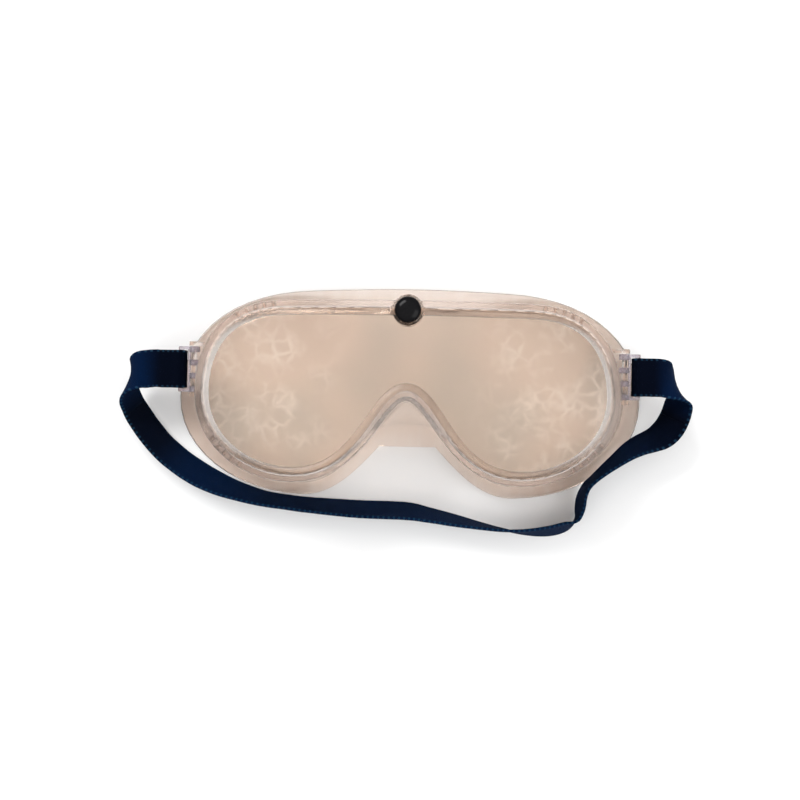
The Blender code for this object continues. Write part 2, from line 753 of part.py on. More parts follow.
def ribbon_mesh(name, stations):
    """A flat band with softened selvedges swept along its stations."""
    half = STRAP_WIDTH / 2.0
    thick = STRAP_THICKNESS / 2.0
    edge = thick * 0.6
    top = ((-half, 0.0), (-half + edge, thick), (half - edge, thick))
    section = top + tuple((-across, -up) for across, up in top)
    work = bmesh.new()
    rows = []
    last = len(stations) - 1
    for k, (centre, across) in enumerate(stations):
        along = (stations[min(last, k + 1)][0] - stations[max(0, k - 1)][0]).normalized()
        across = (across - along * across.dot(along)).normalized()
        normal = along.cross(across)
        rows.append([work.verts.new(centre + across * a + normal * b) for a, b in section])
    for row, after in zip(rows, rows[1:]):
        for j in range(len(section)):
            i = (j + 1) % len(section)
            work.faces.new((row[j], row[i], after[i], after[j]))
    work.faces.new(rows[0])
    work.faces.new(list(reversed(rows[-1])))
    return mesh_from(name, work)


def build_strap_end(name, side, parts, material):
    """The end of the strap: over the clip's outer bar, down its slot and back under, in the clip's own axes."""
    slot_in, slot_out = clip_slot()
    bar_out = slot_out + CLIP_OUTER_BAR
    level = CLIP_THICKNESS / 2.0 + STRAP_GAP + STRAP_THICKNESS / 2.0
    drop = slot_out - STRAP_GAP - STRAP_THICKNESS / 2.0 - 0.0001
    layer = (STRAP_THICKNESS + STRAP_GAP) / 2.0
    join = bar_out + STRAP_JOIN
    upper = (
        (join, layer), (bar_out + 0.0022, layer + 0.0003), (bar_out + 0.0003, level - 0.0001),
        (bar_out - 0.0007, level), (slot_out + 0.0003, level - 0.0001), (drop + 0.0001, level - 0.0007),
        (drop, 0.0006),
    )
    path = list(upper) + [(x, -z) for x, z in reversed(upper)]
    path.append((bar_out + STRAP_TAIL, -layer))
    stations = [(Vector((x, 0.0, z)), Vector((0.0, -1.0, 0.0))) for x, z in path]
    if side < 0:
        stations = [(centre, -across) for centre, across in stations]
    mesh_data = ribbon_mesh(name, smooth_stations(stations, 2))
    turn = 0.0 if side > 0 else math.pi
    return add_object(name, mesh_data, parts, material, (side * hinge_x(), HINGE_Y, HINGE_Z), turn)


def build_strap(parts, material):
    """The free strap between the two sewn ends."""
    layer = (STRAP_THICKNESS + STRAP_GAP) / 2.0
    start_x = strap_start_x()
    across = Vector((0.0, -1.0, 0.0))
    stations = [(Vector((-start_x, HINGE_Y, HINGE_Z + layer)), across)]
    stations += route_stations()
    stations.append((Vector((start_x, HINGE_Y, HINGE_Z + layer)), across))
    return add_object("strap", ribbon_mesh("strap", smooth_stations(stations, ROUTE_STEPS)), parts, material)


# ---------------------------------------------------------------- build


def build():
    clear_scene()
    parts = new_collection("safety_goggles")
    cutters = new_collection("cutters")
    vinyl = make_material("clear_vinyl", (0.70, 0.53, 0.42), 0.22, transmission=0.7)
    sheet = make_material("lens_sheet", (0.72, 0.56, 0.45), 0.06, transmission=0.8)
    black = make_material("stud_black", (0.010, 0.010, 0.012), 0.16)
    clear = make_material("clip_clear", (0.62, 0.56, 0.60), 0.18, transmission=0.5)
    navy = make_material("strap_navy", (0.004, 0.012, 0.045), 0.85)
    build_frame(parts, cutters, vinyl)
    build_lens(parts, cutters, sheet)
    build_stud(parts, black)
    build_stud_ring(parts, black)
    build_clip("clip_left", -1.0, parts, cutters, clear)
    build_clip("clip_right", 1.0, parts, cutters, clear)
    build_strap_end("strap_end_left", -1.0, parts, navy)
    build_strap_end("strap_end_right", 1.0, parts, navy)
    build_strap(parts, navy)


build()
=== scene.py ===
# %% [markdown]
# # Safety goggles
# A pair of soft clear goggles lies lens up on a pale table, with its navy elastic strap looped
# loosely in front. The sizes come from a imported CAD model, which is loaded as a fixed frame. This
# lesson gives that frame its visible skins, its strap, its finishes, the light and the camera.

# %% Load the frame
import json
import math

import bmesh
import bpy
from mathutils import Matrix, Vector, noise


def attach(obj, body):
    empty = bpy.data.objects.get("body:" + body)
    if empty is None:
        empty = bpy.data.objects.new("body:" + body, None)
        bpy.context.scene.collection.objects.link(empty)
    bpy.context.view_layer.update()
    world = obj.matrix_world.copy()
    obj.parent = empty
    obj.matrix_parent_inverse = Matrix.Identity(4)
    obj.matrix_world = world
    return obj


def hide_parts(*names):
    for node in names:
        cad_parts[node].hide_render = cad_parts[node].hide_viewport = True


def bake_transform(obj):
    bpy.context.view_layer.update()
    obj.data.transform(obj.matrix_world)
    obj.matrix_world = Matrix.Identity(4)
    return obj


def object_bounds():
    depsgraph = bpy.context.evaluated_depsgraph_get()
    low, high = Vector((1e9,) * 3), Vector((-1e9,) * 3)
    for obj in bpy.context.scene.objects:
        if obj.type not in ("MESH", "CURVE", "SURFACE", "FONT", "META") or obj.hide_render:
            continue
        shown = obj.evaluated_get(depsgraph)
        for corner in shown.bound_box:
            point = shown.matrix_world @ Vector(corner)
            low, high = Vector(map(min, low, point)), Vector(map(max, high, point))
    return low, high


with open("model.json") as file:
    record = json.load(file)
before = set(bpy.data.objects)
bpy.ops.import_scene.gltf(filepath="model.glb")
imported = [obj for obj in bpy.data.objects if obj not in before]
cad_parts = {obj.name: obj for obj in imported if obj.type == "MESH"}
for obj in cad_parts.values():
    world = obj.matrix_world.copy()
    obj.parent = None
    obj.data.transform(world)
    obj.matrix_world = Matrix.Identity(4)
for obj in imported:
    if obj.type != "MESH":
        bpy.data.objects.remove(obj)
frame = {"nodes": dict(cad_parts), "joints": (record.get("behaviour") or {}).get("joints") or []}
cad_low, cad_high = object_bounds()
print("frame from", [round(v, 4) for v in cad_low], "to", [round(v, 4) for v in cad_high])

# %% [markdown]
# ## The camera
# The goggles are seen from straight above, so the camera hangs over them and looks down. It is a
# little to the right of the middle and turned by about a degree, because nobody lays a soft thing
# down perfectly square. A lens of about 49 mm on a 36 mm sensor is what an ordinary camera has.

# %% Camera
camera_data = bpy.data.cameras.new("camera")
camera_data.lens = 48.7
camera_data.sensor_width = 36.0
camera_data.clip_start = 0.01
camera_data.clip_end = 20.0
camera = bpy.data.objects.new("camera", camera_data)
bpy.context.scene.collection.objects.link(camera)
camera.location = (0.0083, -0.0034, 0.4472)
camera.rotation_euler = (math.radians(0.131), math.radians(1.512), math.radians(1.123))
bpy.context.scene.camera = camera
print("camera", round(camera.location.z, 3), "m above the table")

# %% [markdown]
# ## Where the strap goes
# The strap is a flat elastic band, so it is drawn as a row of stations: each has a centre and the
# direction across the band. Its route from one clip to the other is a list of measured points,
# rounded and partly moved. They are the ones in the CAD source, in millimetres. Beside each
# clip the band folds down and back under itself. The hinge of each clip comes from the frame.

# %% Strap route
STRAP_WIDTH = 0.0150
STRAP_THICKNESS = 0.0012
STRAP_GAP = 0.0003
STRAP_ROUTE = (
    ((-98.0, 8.0, 20.75), (0.00, -1.00, 0.00)),
    ((-101.4, 8.0, 20.7), (0.00, -1.00, 0.00)),
    ((-106.6, 7.2, 20.2), (-0.22, -0.97, 0.02)),
    ((-109.8, 5.0, 18.8), (-0.26, -0.95, 0.12)),
    ((-111.8, 2.3, 16.4), (-0.25, -0.88, 0.38)),
    ((-112.8, -0.4, 13.8), (-0.23, -0.74, 0.62)),
    ((-112.9, -3.0, 11.7), (-0.22, -0.60, 0.77)),
    ((-112.4, -5.2, 10.4), (-0.23, -0.51, 0.83)),
    ((-111.3, -8.0, 9.3), (-0.27, -0.45, 0.85)),
    ((-109.2, -11.6, 8.4), (-0.31, -0.43, 0.85)),
    ((-106.2, -16.0, 7.9), (-0.32, -0.44, 0.84)),
    ((-102.3, -20.9, 7.5), (-0.28, -0.47, 0.84)),
    ((-97.8, -25.4, 7.3), (-0.24, -0.51, 0.82)),
    ((-91.6, -30.3, 7.1), (-0.18, -0.54, 0.82)),
    ((-84.4, -34.7, 7.1), (-0.12, -0.54, 0.83)),
    ((-77.5, -38.0, 7.3), (-0.08, -0.48, 0.87)),
    ((-70.0, -40.7, 7.6), (-0.06, -0.38, 0.92)),
    ((-59.0, -43.6, 8.0), (-0.06, -0.28, 0.96)),
    ((-49.0, -45.0, 8.0), (-0.04, -0.26, 0.97)),
    ((-39.2, -46.0, 8.0), (-0.03, -0.28, 0.96)),
    ((-19.6, -47.2, 7.9), (-0.01, -0.34, 0.94)),
    ((-0.1, -47.6, 7.9), (-0.02, -0.34, 0.94)),
    ((9.7, -49.1, 8.0), (-0.04, -0.26, 0.97)),
    ((19.5, -50.9, 8.1), (-0.04, -0.18, 0.98)),
    ((29.2, -52.7, 8.2), (-0.02, -0.06, 1.00)),
    ((39.0, -54.3, 8.2), (0.00, 0.06, 1.00)),
    ((48.7, -55.0, 8.1), (-0.01, 0.22, 0.97)),
    ((58.0, -54.4, 7.9), (-0.06, 0.34, 0.94)),
    ((64.6, -52.5, 7.9), (-0.16, 0.30, 0.94)),
    ((68.9, -49.6, 8.2), (-0.06, 0.06, 1.00)),
    ((69.9, -46.0, 8.3), (0.06, 0.02, 1.00)),
    ((70.5, -42.4, 8.6), (0.10, 0.00, 0.99)),
    ((71.4, -38.8, 9.2), (0.06, 0.00, 1.00)),
    ((73.0, -35.4, 9.9), (0.02, -0.02, 1.00)),
    ((75.8, -32.4, 10.4), (0.00, -0.06, 1.00)),
    ((79.6, -29.0, 10.6), (0.02, -0.12, 0.99)),
    ((84.6, -24.9, 10.7), (0.06, -0.22, 0.97)),
    ((89.4, -21.2, 10.8), (0.10, -0.34, 0.93)),
    ((93.4, -18.9, 10.9), (0.16, -0.40, 0.90)),
    ((97.4, -17.2, 11.1), (0.28, -0.42, 0.86)),
    ((101.2, -15.2, 11.4), (0.44, -0.42, 0.79)),
    ((104.4, -12.0, 11.7), (0.52, -0.36, 0.77)),
    ((106.6, -7.8, 12.0), (0.54, -0.32, 0.78)),
    ((107.8, -3.4, 12.8), (0.50, -0.38, 0.78)),
    ((108.2, -0.4, 13.4), (0.40, -0.56, 0.73)),
    ((107.4, 2.6, 14.8), (0.31, -0.76, 0.56)),
    ((105.4, 5.2, 17.0), (0.26, -0.90, 0.32)),
    ((102.6, 6.9, 19.2), (0.20, -0.97, 0.10)),
    ((100.0, 7.9, 20.4), (0.06, -1.00, 0.00)),
    ((97.6, 8.0, 20.75), (0.00, -1.00, 0.00)),
)

hinges = {}
for joint in frame["joints"]:
    if joint["type"] == "hinge":
        hinges[math.copysign(1.0, joint["pos_m"][0])] = Vector(joint["pos_m"])
layer = (STRAP_THICKNESS + STRAP_GAP) / 2.0
print("hinges at", [tuple(round(v, 4) for v in hinge) for hinge in hinges.values()])

# %% [markdown]
# Each end of the strap goes over the outer bar of its clip, down through the slot and back
# underneath, where it is sewn to itself. Seen from the side that is a flat loop, so its stations
# are points in the plane of the hinge, measured outward from the hinge and up from its level.

# %% Strap ends
CLIP_THICKNESS = 0.0020
SLOT_OUTER_EDGE = 0.0044
BAR_END = 0.0062
TAIL = 0.0072


def end_stations(side):
    """From the tail under the clip, round the outer bar, to where the free strap begins."""
    level = CLIP_THICKNESS / 2.0 + STRAP_GAP + STRAP_THICKNESS / 2.0
    drop = SLOT_OUTER_EDGE - STRAP_GAP - STRAP_THICKNESS / 2.0 - 0.0001
    upper = [
        (BAR_END + 0.0042, layer), (BAR_END + 0.0022, layer + 0.0003), (BAR_END + 0.0003, level - 0.0001),
        (BAR_END - 0.0007, level), (SLOT_OUTER_EDGE + 0.0003, level - 0.0001),
        (drop + 0.0001, level - 0.0007),
        (drop, 0.0006),
    ]
    lower = [(out, -up) for out, up in upper]
    path = [(BAR_END + TAIL, -layer)] + lower + upper[::-1]
    across = Vector((0.0, -1.0, 0.0))
    return [(hinges[side] + Vector((side * out, 0.0, up)), across) for out, up in path]


# %% [markdown]
# A smooth curve through listed stations is a Catmull-Rom curve: it passes through every
# point and needs no handles. The same formula runs over the centres and over the directions
# across. Then the curve is walked in even steps, so that the weave isn't stretched.

# %% Smooth stations
STATION_STEP = 0.0011


def curve_between(before, start, end, after, share):
    """A point of the smooth curve that passes through the middle two of four points."""
    return 0.5 * (
        2.0 * start
        + (end - before) * share
        + (2.0 * before - 5.0 * start + 4.0 * end - after) * share * share
        + (3.0 * start - before - 3.0 * end + after) * share * share * share
    )


def smooth_stations(stations, steps):
    smooth = []
    last = len(stations) - 1
    for k in range(last):
        around = [stations[max(0, min(last, k + j))] for j in (-1, 0, 1, 2)]
        for step in range(steps):
            share = step / steps
            smooth.append(tuple(curve_between(*[place[part] for place in around], share) for part in (0, 1)))
    smooth.append(stations[-1])
    return smooth


def even_stations(stations, step):
    """Stations at equal distances along the same line."""
    lengths = [0.0]
    for first, second in zip(stations, stations[1:]):
        lengths.append(lengths[-1] + (second[0] - first[0]).length)
    count = max(2, round(lengths[-1] / step))
    even = []
    k = 0
    for j in range(count + 1):
        goal = lengths[-1] * j / count
        while k < len(stations) - 2 and lengths[k + 1] < goal:
            k += 1
        share = (goal - lengths[k]) / max(1e-9, lengths[k + 1] - lengths[k])
        even.append(tuple(stations[k][part].lerp(stations[k + 1][part], share) for part in (0, 1)))
    return even


def line_length(stations):
    return sum((b[0] - a[0]).length for a, b in zip(stations, stations[1:]))


# %% Whole strap line
route = [(Vector(centre) * 0.001, Vector(across).normalized()) for centre, across in STRAP_ROUTE]
whole = end_stations(-1.0) + route + end_stations(1.0)[::-1]
whole = even_stations(smooth_stations(whole, 8), STATION_STEP)


def nearest_station(point):
    return min(range(len(whole)), key=lambda k: (whole[k][0] - point).length)


LEFT_CUT = 8
RIGHT_CUT = -8
cuts = (nearest_station(route[LEFT_CUT][0]), nearest_station(route[RIGHT_CUT][0]))
middle_line = whole[cuts[0] : cuts[1] + 1]
print("strap", round(line_length(whole), 4), "m long,", round(line_length(middle_line), 4), "m of it free")

# %% [markdown]
# ## Weaving the band
# The band is swept along the stations. Its section is a flat shape with a slightly thicker, round
# selvedge on each side, as woven elastic has. Real elastic is never quite straight, so the two
# selvedges wander by a tenth of a millimetre. Each corner of the mesh keeps its place on the cloth
# in metres as its texture coordinates, so that the weave later follows the band through its folds.

# %% Band sweep
def band_section():
    """Half of the section from the middle of the top face outward, as (across, up) shares."""
    half = STRAP_WIDTH / 2.0
    thick = STRAP_THICKNESS / 2.0
    top = [(half * share, thick * 0.90) for share in (-0.86, -0.6, -0.3, 0.0, 0.3, 0.6, 0.86)]
    rim = [(half * 0.92, thick * 0.98), (half * 0.97, thick * 0.92), (half * 0.992, thick * 0.6), (half, 0.0)]
    left_rim = [(-across, up) for across, up in rim[::-1]]
    upper = left_rim + top + rim
    lower = [(across, -up) for across, up in upper[-2:0:-1]]
    return upper + lower


def band_rows(stations):
    """The corners of the section at every station, with how far along the band it is."""
    section = band_section()
    rows = []
    reached = 0.0
    last = len(stations) - 1
    for k, (centre, across) in enumerate(stations):
        if k > 0:
            reached += (centre - stations[k - 1][0]).length
        along = (stations[min(last, k + 1)][0] - stations[max(0, k - 1)][0]).normalized()
        across = (across - along * across.dot(along)).normalized()
        normal = along.cross(across)
        corners = []
        for side, up in section:
            wander = noise.noise(Vector((reached * 190.0, math.copysign(9.0, side), 0.0))) * 0.00012
            wander += noise.noise(Vector((reached * 900.0, math.copysign(5.0, side), 4.0))) * 0.00007
            reach = side + wander * abs(side) / (STRAP_WIDTH / 2.0)
            corners.append(centre + across * reach + normal * up)
        rows.append((corners, reached))
    return rows


def band_mesh(name, rows):
    """The skin over some of the rows, with its texture coordinates in metres."""
    section = band_section()
    work = bmesh.new()
    cloth = work.loops.layers.uv.new("cloth")
    made = [[work.verts.new(corner) for corner in corners] for corners, reached in rows]
    count = len(section)
    for k, (row, after) in enumerate(zip(made, made[1:])):
        for j in range(count):
            i = (j + 1) % count
            face = work.faces.new((row[j], row[i], after[i], after[j]))
            face.smooth = True
            places = ((j, k), (i, k), (i, k + 1), (j, k + 1))
            for loop, (corner, station) in zip(face.loops, places):
                loop[cloth].uv = (section[corner][0], rows[station][1])
    work.faces.new(made[0])
    work.faces.new(list(reversed(made[-1])))
    bmesh.ops.recalc_face_normals(work, faces=work.faces)
    data = bpy.data.meshes.new(name)
    work.to_mesh(data)
    work.free()
    return data


def add_piece(name, data, finish=None):
    piece = bpy.data.objects.new(name, data)
    bpy.context.scene.collection.objects.link(piece)
    if finish is not None:
        data.materials.clear()
        data.materials.append(finish)
    return piece


# %% Strap pieces
rows = band_rows(whole)
strap_left = add_piece("strap_left", band_mesh("strap_left", rows[: cuts[0] + 1]))
strap_run = add_piece("strap_run", band_mesh("strap_run", rows[cuts[0] : cuts[1] + 1]))
strap_right = add_piece("strap_right", band_mesh("strap_right", rows[cuts[1] :]))
strap_pieces = (strap_left, strap_run, strap_right)
print("strap pieces hold", sum(len(piece.data.polygons) for piece in strap_pieces), "faces")

# %% [markdown]
# The strap is split where its folds end. The middle lies still with the goggles. The two side
# pieces only have their places baked into their meshes: they are not joined to the clips, and
# nothing here bends them. The strap parts of the CAD frame are hidden.

# %% Strap side pieces
for piece, body, side, out, down, climb in (
    (strap_left, "clip_left", -1.0, 0.0275, 0.0039, 0.0079),
    (strap_right, "clip_right", 1.0, 0.0234, 0.0040, 0.0067),
):
    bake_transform(piece)
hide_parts("strap_end_left")
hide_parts("strap_end_right")
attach(strap_run, "frame")
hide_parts("strap")
line_length(middle_line)

# %% [markdown]
# ## A small language for finishes
# A finish is a graph of nodes. Written node by node it is hard to read, so one class wraps a
# socket and lets sums and products stand for Math nodes, and one method adds any other node.

# %% Finish and Wire
class Wire:
    """One socket of a finish. Sums, differences, products and powers of wires add Math nodes."""

    def __init__(self, finish, socket):
        self.finish = finish
        self.socket = socket

    def maths(self, operation, first, second=0.0):
        return self.finish.node("ShaderNodeMath", {"operation": operation}, {0: first, 1: second})

    def __add__(self, other):
        return self.maths("ADD", self, other)

    def __radd__(self, other):
        return self.maths("ADD", other, self)

    def __sub__(self, other):
        return self.maths("SUBTRACT", self, other)

    def __rsub__(self, other):
        return self.maths("SUBTRACT", other, self)

    def __mul__(self, other):
        return self.maths("MULTIPLY", self, other)

    def __rmul__(self, other):
        return self.maths("MULTIPLY", other, self)

    def __pow__(self, other):
        return self.maths("POWER", self, other)

    def sine(self):
        return self.maths("SINE", self)

    def size(self):
        return self.maths("ABSOLUTE", self)

    def above(self, level):
        return self.maths("GREATER_THAN", self, level)

    def whole(self):
        return self.maths("FLOOR", self)


class Finish:
    """A material under construction, with one method for any node."""

    def __init__(self, name):
        self.material = bpy.data.materials.new(name)
        self.material.use_nodes = True
        self.tree = self.material.node_tree
        self.tree.nodes.clear()

    def node(self, kind, settings=None, sockets=None, output=None):
        made = self.tree.nodes.new(kind)
        for setting, value in (settings or {}).items():
            if setting == "stops":
                self.set_stops(made.color_ramp, value)
            else:
                setattr(made, setting, value)
        for name, value in (sockets or {}).items():
            socket = self.find(made.inputs, name)
            if isinstance(value, Wire):
                self.tree.links.new(value.socket, socket)
            elif isinstance(value, tuple) and socket.type == "RGBA":
                socket.default_value = (*value[:3], 1.0)
            else:
                socket.default_value = value
        if not len(made.outputs):
            return None
        if output is None:
            return Wire(self, next(socket for socket in made.outputs if socket.enabled))
        return Wire(self, self.find(made.outputs, output))

    @staticmethod
    def find(sockets, name):
        """A socket by its place, or the first one in use that has this name."""
        if isinstance(name, int):
            return sockets[name]
        return next(socket for socket in sockets if socket.name == name and socket.enabled)

    @staticmethod
    def set_stops(ramp, stops):
        while len(ramp.elements) < len(stops):
            ramp.elements.new(0.5)
        for element, (place, value) in zip(ramp.elements, stops):
            element.position = place
            element.color = (*value, 1.0) if isinstance(value, tuple) else (value, value, value, 1.0)

    def mix(self, share, first, second):
        """A colour between two, for a share from 0 to 1."""
        return self.node("ShaderNodeMix", {"data_type": "RGBA"}, {"Factor": share, "A": first, "B": second})

    def cloud(self, place, scale, detail=3.0, roughness=0.5):
        """Soft noise from 0 to 1, as big as 1 / scale metres."""
        sockets = {"Vector": place, "Scale": scale, "Detail": detail, "Roughness": roughness}
        return self.node("ShaderNodeTexNoise", {}, sockets)

    def place(self):
        """The place on the object, in metres."""
        return self.node("ShaderNodeTexCoord", {}, {}, "Object")

    def parts_of(self, vector):
        """The three numbers of a vector."""
        self.node("ShaderNodeSeparateXYZ", {}, {"Vector": vector})
        split = self.tree.nodes[-1]
        return [Wire(self, split.outputs[k]) for k in range(3)]

    def bump(self, height, distance, strength=1.0):
        sockets = {"Height": height, "Distance": distance, "Strength": strength}
        return self.node("ShaderNodeBump", {}, sockets)

    def surface(self, **sockets):
        """The shader that ends the finish. Underscores in the names stand for spaces."""
        named = {name.replace("_", " "): value for name, value in sockets.items()}
        shader = self.node("ShaderNodeBsdfPrincipled", {}, named)
        self.node("ShaderNodeOutputMaterial", {}, {"Surface": shader})
        return self.material


# %% [markdown]
# ## Woven elastic
# Up close, elastic webbing is a row of fine lengthwise ribs, crossed by the picks of the weft, so
# it is made of small lumps. Each selvedge has a denser thread with a stitch every couple of
# millimetres, and some of those catch the light. Waves in the two cloth directions give the lumps,
# and the same waves go into the colour, the roughness and the bump. Along its length the cloth is
# also painted darker. At both sewn ends this is the painted shadow of the frame, and inside both
# folds it is painted shade.

# %% Strap finish
RIB = 0.00094
PICK = 0.00062
SELVEDGE = 0.0009
STITCH = 0.0021
STRAP_LENGTH = line_length(whole)
# Stops along the strap, as shares of its length: 1 keeps the cloth colour and lower values are painted shade.
# They are dark at both sewn ends, as the frame's painted shadow, and inside both folds.
STRAP_PAINTED_SHADE = (
    (0.0, 0.15), (0.065, 0.15), (0.085, 1.0), (0.128, 1.0), (0.150, 0.18), (0.200, 0.25), (0.240, 1.0),
    (0.800, 1.0), (0.838, 0.3), (0.870, 0.12), (0.892, 1.0), (0.920, 1.0), (0.940, 0.15), (1.0, 0.15),
)


def woven_navy():
    finish = Finish("woven_navy")
    cloth = finish.node("ShaderNodeUVMap", {"uv_map": "cloth"})
    across, along, _ = finish.parts_of(cloth)
    rib = (across * (math.tau / RIB)).sine()
    shift = (across * (1.0 / RIB)).whole() * math.pi
    pick = (along * (math.tau / PICK) + shift).sine()
    lump = rib.size() * 0.55 + pick * 0.22 + 0.22
    edge = across.size().above(STRAP_WIDTH / 2.0 - SELVEDGE)
    stitch = (along * (math.tau / STITCH)).sine().above(0.35) * edge
    fuzz = finish.cloud(cloth, 5200.0, 2.0)
    fade = finish.cloud(cloth, 95.0, 3.0)
    cloth_blue = finish.mix(lump, (0.0002, 0.0018, 0.0090), (0.0006, 0.0095, 0.0420))
    blue_with_wear_and_painted_shade = finish.mix(fade * 0.4, cloth_blue, (0.0012, 0.0110, 0.0380))
    share = along * (1.0 / STRAP_LENGTH)
    # Painted shade: the cloth colour is mixed towards near black where the stops are low.
    painted_shade_share = finish.node("ShaderNodeValToRGB", {"stops": STRAP_PAINTED_SHADE}, {"Fac": share})
    blue_with_wear_and_painted_shade = finish.mix(painted_shade_share, (0.0004, 0.0006, 0.0022), blue_with_wear_and_painted_shade)
    stitched = finish.mix(stitch * fuzz * 0.9, blue_with_wear_and_painted_shade, (0.0200, 0.0650, 0.1150))
    height = lump * (1.0 - edge * 0.5) + stitch * 0.7 + fuzz * 0.25
    return finish.surface(
        Base_Color=stitched,
        Roughness=0.78 + fuzz * 0.2,
        Normal=finish.bump(height, 0.00016, 0.8),
        Sheen_Weight=0.02,
        Sheen_Roughness=0.4,
        Sheen_Tint=(0.25, 0.45, 0.8),
        Specular_IOR_Level=0.04,
    )


strap_finish = woven_navy()
for piece in strap_pieces:
    piece.data.materials.append(strap_finish)
print("woven elastic: a rib every", RIB * 1000, "mm")

# %% [markdown]
# ## Clear vinyl and clear sheet
# Soft clear vinyl isn't water clear: it is a little hazy and warm in tint, with streaks from the
# mould that run up and down. The streaks are bumps in its surface, and the same streaks are painted
# paler into the tint as painted highlights. A glass-like shader with a tinted surface gives the
# colour, and a faintly absorbing inside makes the thick parts a little pinker. Light crosses four
# surfaces in the rim and only two in the flange, so the flange gets the deeper tint and the two end
# up alike.

# %% Clear vinyl
def clear_vinyl():
    finish = Finish("clear_vinyl_skin")
    place = finish.place()
    _, _, height = finish.parts_of(place)
    haze = finish.cloud(place, 60.0, 4.0)
    grain = finish.cloud(place, 900.0, 2.0)
    flow = finish.cloud(place, 38.0, 1.0)
    stretched = finish.node("ShaderNodeMapping", {}, {"Vector": place, "Scale": (9.0, 1.6, 3.0)})
    streak_bump_and_painted_highlight = (finish.cloud(stretched, 38.0, 3.0) ** 2.0) * 1.6
    pink = finish.cloud(place, 24.0, 2.0)
    thin = finish.node("ShaderNodeMapRange", {}, {"Value": height, "From Min": 0.004, "From Max": 0.030})
    flange = finish.mix(haze, (0.87, 0.76, 0.68), (0.93, 0.84, 0.76))
    pale = finish.mix(thin, flange, (0.98, 0.91, 0.85))
    warm = finish.mix(pink * 0.35, pale, (0.95, 0.80, 0.77))
    # Painted highlight: the streaks make the tint paler, up to near white.
    tint = finish.mix(streak_bump_and_painted_highlight * 0.5, warm, (0.99, 0.95, 0.91))
    shader = finish.node("ShaderNodeBsdfPrincipled", {}, {
        "Base Color": tint,
        "Roughness": 0.15 + haze * 0.12,
        "IOR": 1.27,
        "Transmission Weight": 1.0,
        "Normal": finish.bump(flow + streak_bump_and_painted_highlight * 0.18 + grain * 0.02, 0.0010, 0.30),
    })
    inside = finish.node("ShaderNodeVolumeAbsorption", {}, {"Color": (0.86, 0.66, 0.58), "Density": 8.0})
    finish.node("ShaderNodeOutputMaterial", {}, {"Surface": shader, "Volume": inside})
    return finish.material


# %% [markdown]
# The lens is a harder, flatter sheet, almost without haze. Faint smears vary its warm tint and its
# gloss. Slow grey patches on it are painted shade. A broken net of pale lines towards its two
# ends is painted light, like light focused through the side walls. The lines are the borders of
# Voronoi cells whose places are pushed about by noise, so no cell looks regular.

# %% Lens sheet
def clear_sheet():
    finish = Finish("lens_sheet_skin")
    place = finish.place()
    side, _, _ = finish.parts_of(place)
    smear = finish.cloud(place, 45.0, 5.0)
    ripple = finish.cloud(place, 20.0, 1.0)
    patch = finish.cloud(place, 23.0, 1.5)
    push = finish.node("ShaderNodeTexNoise", {}, {"Vector": place, "Scale": 130.0, "Detail": 2.0}, "Color")
    shift = finish.node("ShaderNodeVectorMath", {"operation": "SCALE"}, {0: push, "Scale": 0.0060})
    warped = finish.node("ShaderNodeVectorMath", {"operation": "ADD"}, {0: place, 1: shift})
    cells = {"Vector": warped, "Scale": 175.0}
    cell = finish.node("ShaderNodeTexVoronoi", {"feature": "DISTANCE_TO_EDGE"}, cells)
    # Painted light: pale lines along the borders of the cells, like light focused through the side walls.
    painted_light_line = finish.node("ShaderNodeMapRange", {}, {
        "Value": cell, "From Min": 0.0, "From Max": 0.20, "To Min": 1.0, "To Max": 0.0,
    })
    reach = side.size()
    outer = finish.node("ShaderNodeMapRange", {}, {"Value": reach, "From Min": 0.022, "From Max": 0.048})
    broken = finish.node("ShaderNodeMapRange", {}, {
        "Value": finish.cloud(place, 95.0, 3.0), "From Min": 0.42, "From Max": 0.66,
    })
    painted_light_net = painted_light_line * outer * broken
    # Painted shade: slow grey patches darken the lens tint.
    grey = finish.node("ShaderNodeMapRange", {}, {"Value": patch, "From Min": 0.40, "From Max": 0.60})
    warm = finish.mix(smear, (0.82, 0.68, 0.57), (0.90, 0.76, 0.65))
    shaded = finish.mix(grey * 0.8, warm, (0.71, 0.64, 0.56))
    # The net of painted light makes the tint paler towards the two ends of the lens.
    tint = finish.mix(painted_light_net * 0.9, shaded, (1.0, 0.90, 0.80))
    return finish.surface(
        Base_Color=tint,
        Roughness=0.03 + (smear ** 3.0) * 0.12 + painted_light_net * 0.15,
        IOR=1.42,
        Transmission_Weight=1.0,
        Normal=finish.bump(ripple + painted_light_net * 0.05, 0.0006, 0.25),
    )


# %% [markdown]
# The clips are a hard clear plastic with a lilac-grey tint and fine scuffs. The stud is a glossy
# black moulding with a little dust on it.

# %% Clip and stud
def clip_clear():
    finish = Finish("clip_clear_skin")
    place = finish.place()
    haze = finish.cloud(place, 300.0, 3.0)
    scuff = finish.cloud(place, 2600.0, 2.0)
    return finish.surface(
        Base_Color=finish.mix(haze, (0.60, 0.54, 0.62), (0.78, 0.72, 0.76)),
        Roughness=0.14 + scuff * 0.16,
        IOR=1.49,
        Transmission_Weight=0.85,
        Normal=finish.bump(scuff, 0.00005, 0.5),
    )


def stud_black():
    finish = Finish("stud_black_skin")
    place = finish.place()
    dust = finish.cloud(place, 1500.0, 4.0)
    swirl = finish.cloud(place, 260.0, 2.0)
    return finish.surface(
        Base_Color=finish.mix(dust, (0.0015, 0.0015, 0.0020), (0.0060, 0.0055, 0.0065)),
        Roughness=0.09 + dust * 0.12,
        Specular_IOR_Level=0.10,
        Normal=finish.bump(swirl, 0.00006, 0.5),
    )


# %% [markdown]
# ## Skins over the moulded parts
# The CAD nodes come in as loose triangles. A copy of each, with its corners joined and its curved
# faces shaded smooth, is the visible skin: the shape stays exactly the same, and a glass-like
# finish needs one closed skin to bend light properly.

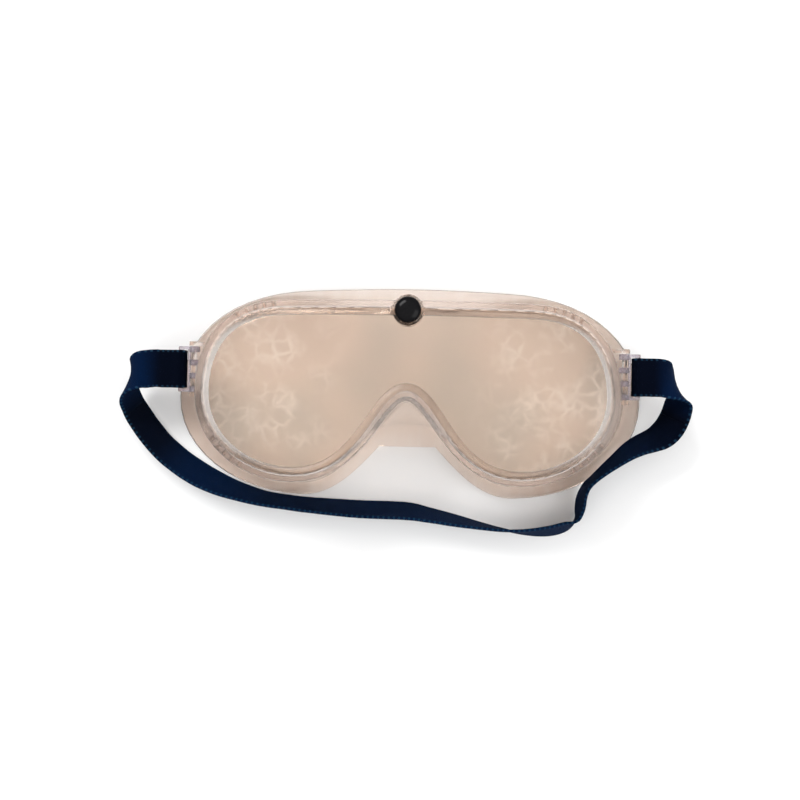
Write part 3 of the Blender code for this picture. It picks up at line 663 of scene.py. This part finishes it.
# %% Skins
def skin(node_name, piece_name, body, finish, smooth_angle=32.0):
    """A closed copy of a CAD node, shaded smooth except at its real corners."""
    data = frame["nodes"][node_name].data.copy()
    data.name = piece_name
    work = bmesh.new()
    work.from_mesh(data)
    bmesh.ops.remove_doubles(work, verts=work.verts, dist=0.000004)
    bmesh.ops.dissolve_degenerate(work, edges=work.edges, dist=0.000001)
    for face in work.faces:
        face.smooth = True
    plain = bpy.data.meshes.new(piece_name)
    work.to_mesh(plain)
    work.free()
    bpy.data.meshes.remove(data)
    plain.set_sharp_from_angle(angle=math.radians(smooth_angle))
    piece = add_piece(piece_name, plain, finish)
    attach(piece, body)
    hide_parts(node_name)
    return piece


def bend_normals(piece, radius):
    """Gives a sheet that bends about Y the exact normals of its curve, top and bottom."""
    data = piece.data
    normals = []
    for polygon in data.polygons:
        for corner in polygon.loop_indices:
            place = data.vertices[data.loops[corner].vertex_index].co
            normal = Vector((place.x / radius, 0.0, 1.0)).normalized()
            if abs(polygon.normal.z) < 0.7:
                normal = polygon.normal.copy()
            elif polygon.normal.z < 0.0:
                normal = -normal
            normals.append(normal)
    data.normals_split_custom_set(normals)


vinyl = clear_vinyl()
goggle_skin = skin("frame_body", "goggle_frame", "frame", vinyl)
lens_skin = skin("lens", "lens_sheet", "frame", clear_sheet())
LENS_BEND_RADIUS = 0.47
bend_normals(lens_skin, LENS_BEND_RADIUS)
black = stud_black()
skin("stud", "stud_dome", "stud", black)
skin("stud_ring", "stud_back_ring", "frame", black)
clip_finish = clip_clear()
skin("clip_left", "strap_clip_left", "clip_left", clip_finish)
skin("clip_right", "strap_clip_right", "clip_right", clip_finish)
print("frame skin", len(goggle_skin.data.polygons), "faces")

# %% [markdown]
# ## Table and light
# The table is plain and pale, a wide disc that lies just under the goggles.

# %% Floor
def pale_floor():
    finish = Finish("pale_floor")
    mottle = finish.cloud(finish.place(), 6.0, 2.0)
    return finish.surface(
        Base_Color=finish.mix(mottle, (0.88, 0.88, 0.88), (0.90, 0.90, 0.90)),
        Roughness=0.9,
    )


work = bmesh.new()
bmesh.ops.create_circle(work, cap_ends=True, segments=96, radius=2.5)
floor_data = bpy.data.meshes.new("floor")
work.to_mesh(floor_data)
work.free()
floor = add_piece("floor", floor_data, pale_floor())
floor.location.z = cad_low.z - 0.0002

# %% [markdown]
# The light is soft and comes from all round: a large panel at the upper left and a weaker one at
# the right. The world itself is bright overhead and darker towards the horizon, as in a room with a
# white ceiling. Clear edges that lean outward then pick up a darker line, which shows their shape.

# %% Lights
def soft_panel(name, place, aim, width, height, power, colour=(1.0, 1.0, 1.0)):
    data = bpy.data.lights.new(name, "AREA")
    data.shape = "RECTANGLE"
    data.size = width
    data.size_y = height
    data.energy = power
    data.color = colour
    panel = bpy.data.objects.new(name, data)
    bpy.context.scene.collection.objects.link(panel)
    panel.location = place
    panel.rotation_euler = (Vector(place) - Vector(aim)).to_track_quat("Z", "Y").to_euler()
    return panel


middle = (cad_low + cad_high) / 2.0
soft_panel("key_panel", (-0.55, 0.75, 0.95), middle, 0.7, 0.35, 9.0)
soft_panel("fill_panel", (0.80, -0.35, 0.90), middle, 0.8, 0.8, 5.0)

# %% World
HORIZON = 0.28
ZENITH = 1.15

world = bpy.data.worlds.new("studio")
world.use_nodes = True
sky = world.node_tree
direction = sky.nodes.new("ShaderNodeTexCoord")
height = sky.nodes.new("ShaderNodeSeparateXYZ")
ramp = sky.nodes.new("ShaderNodeMapRange")
ramp.inputs["From Min"].default_value = 0.0
ramp.inputs["From Max"].default_value = 0.9
ramp.inputs["To Min"].default_value = HORIZON
ramp.inputs["To Max"].default_value = ZENITH
sky.links.new(direction.outputs["Generated"], height.inputs["Vector"])
sky.links.new(height.outputs["Z"], ramp.inputs["Value"])
sky.links.new(ramp.outputs["Result"], sky.nodes["Background"].inputs["Strength"])
sky.nodes["Background"].inputs["Color"].default_value = (1.0, 1.0, 1.0, 1.0)
bpy.context.scene.world = world
bpy.context.scene.view_settings.view_transform = "Standard"
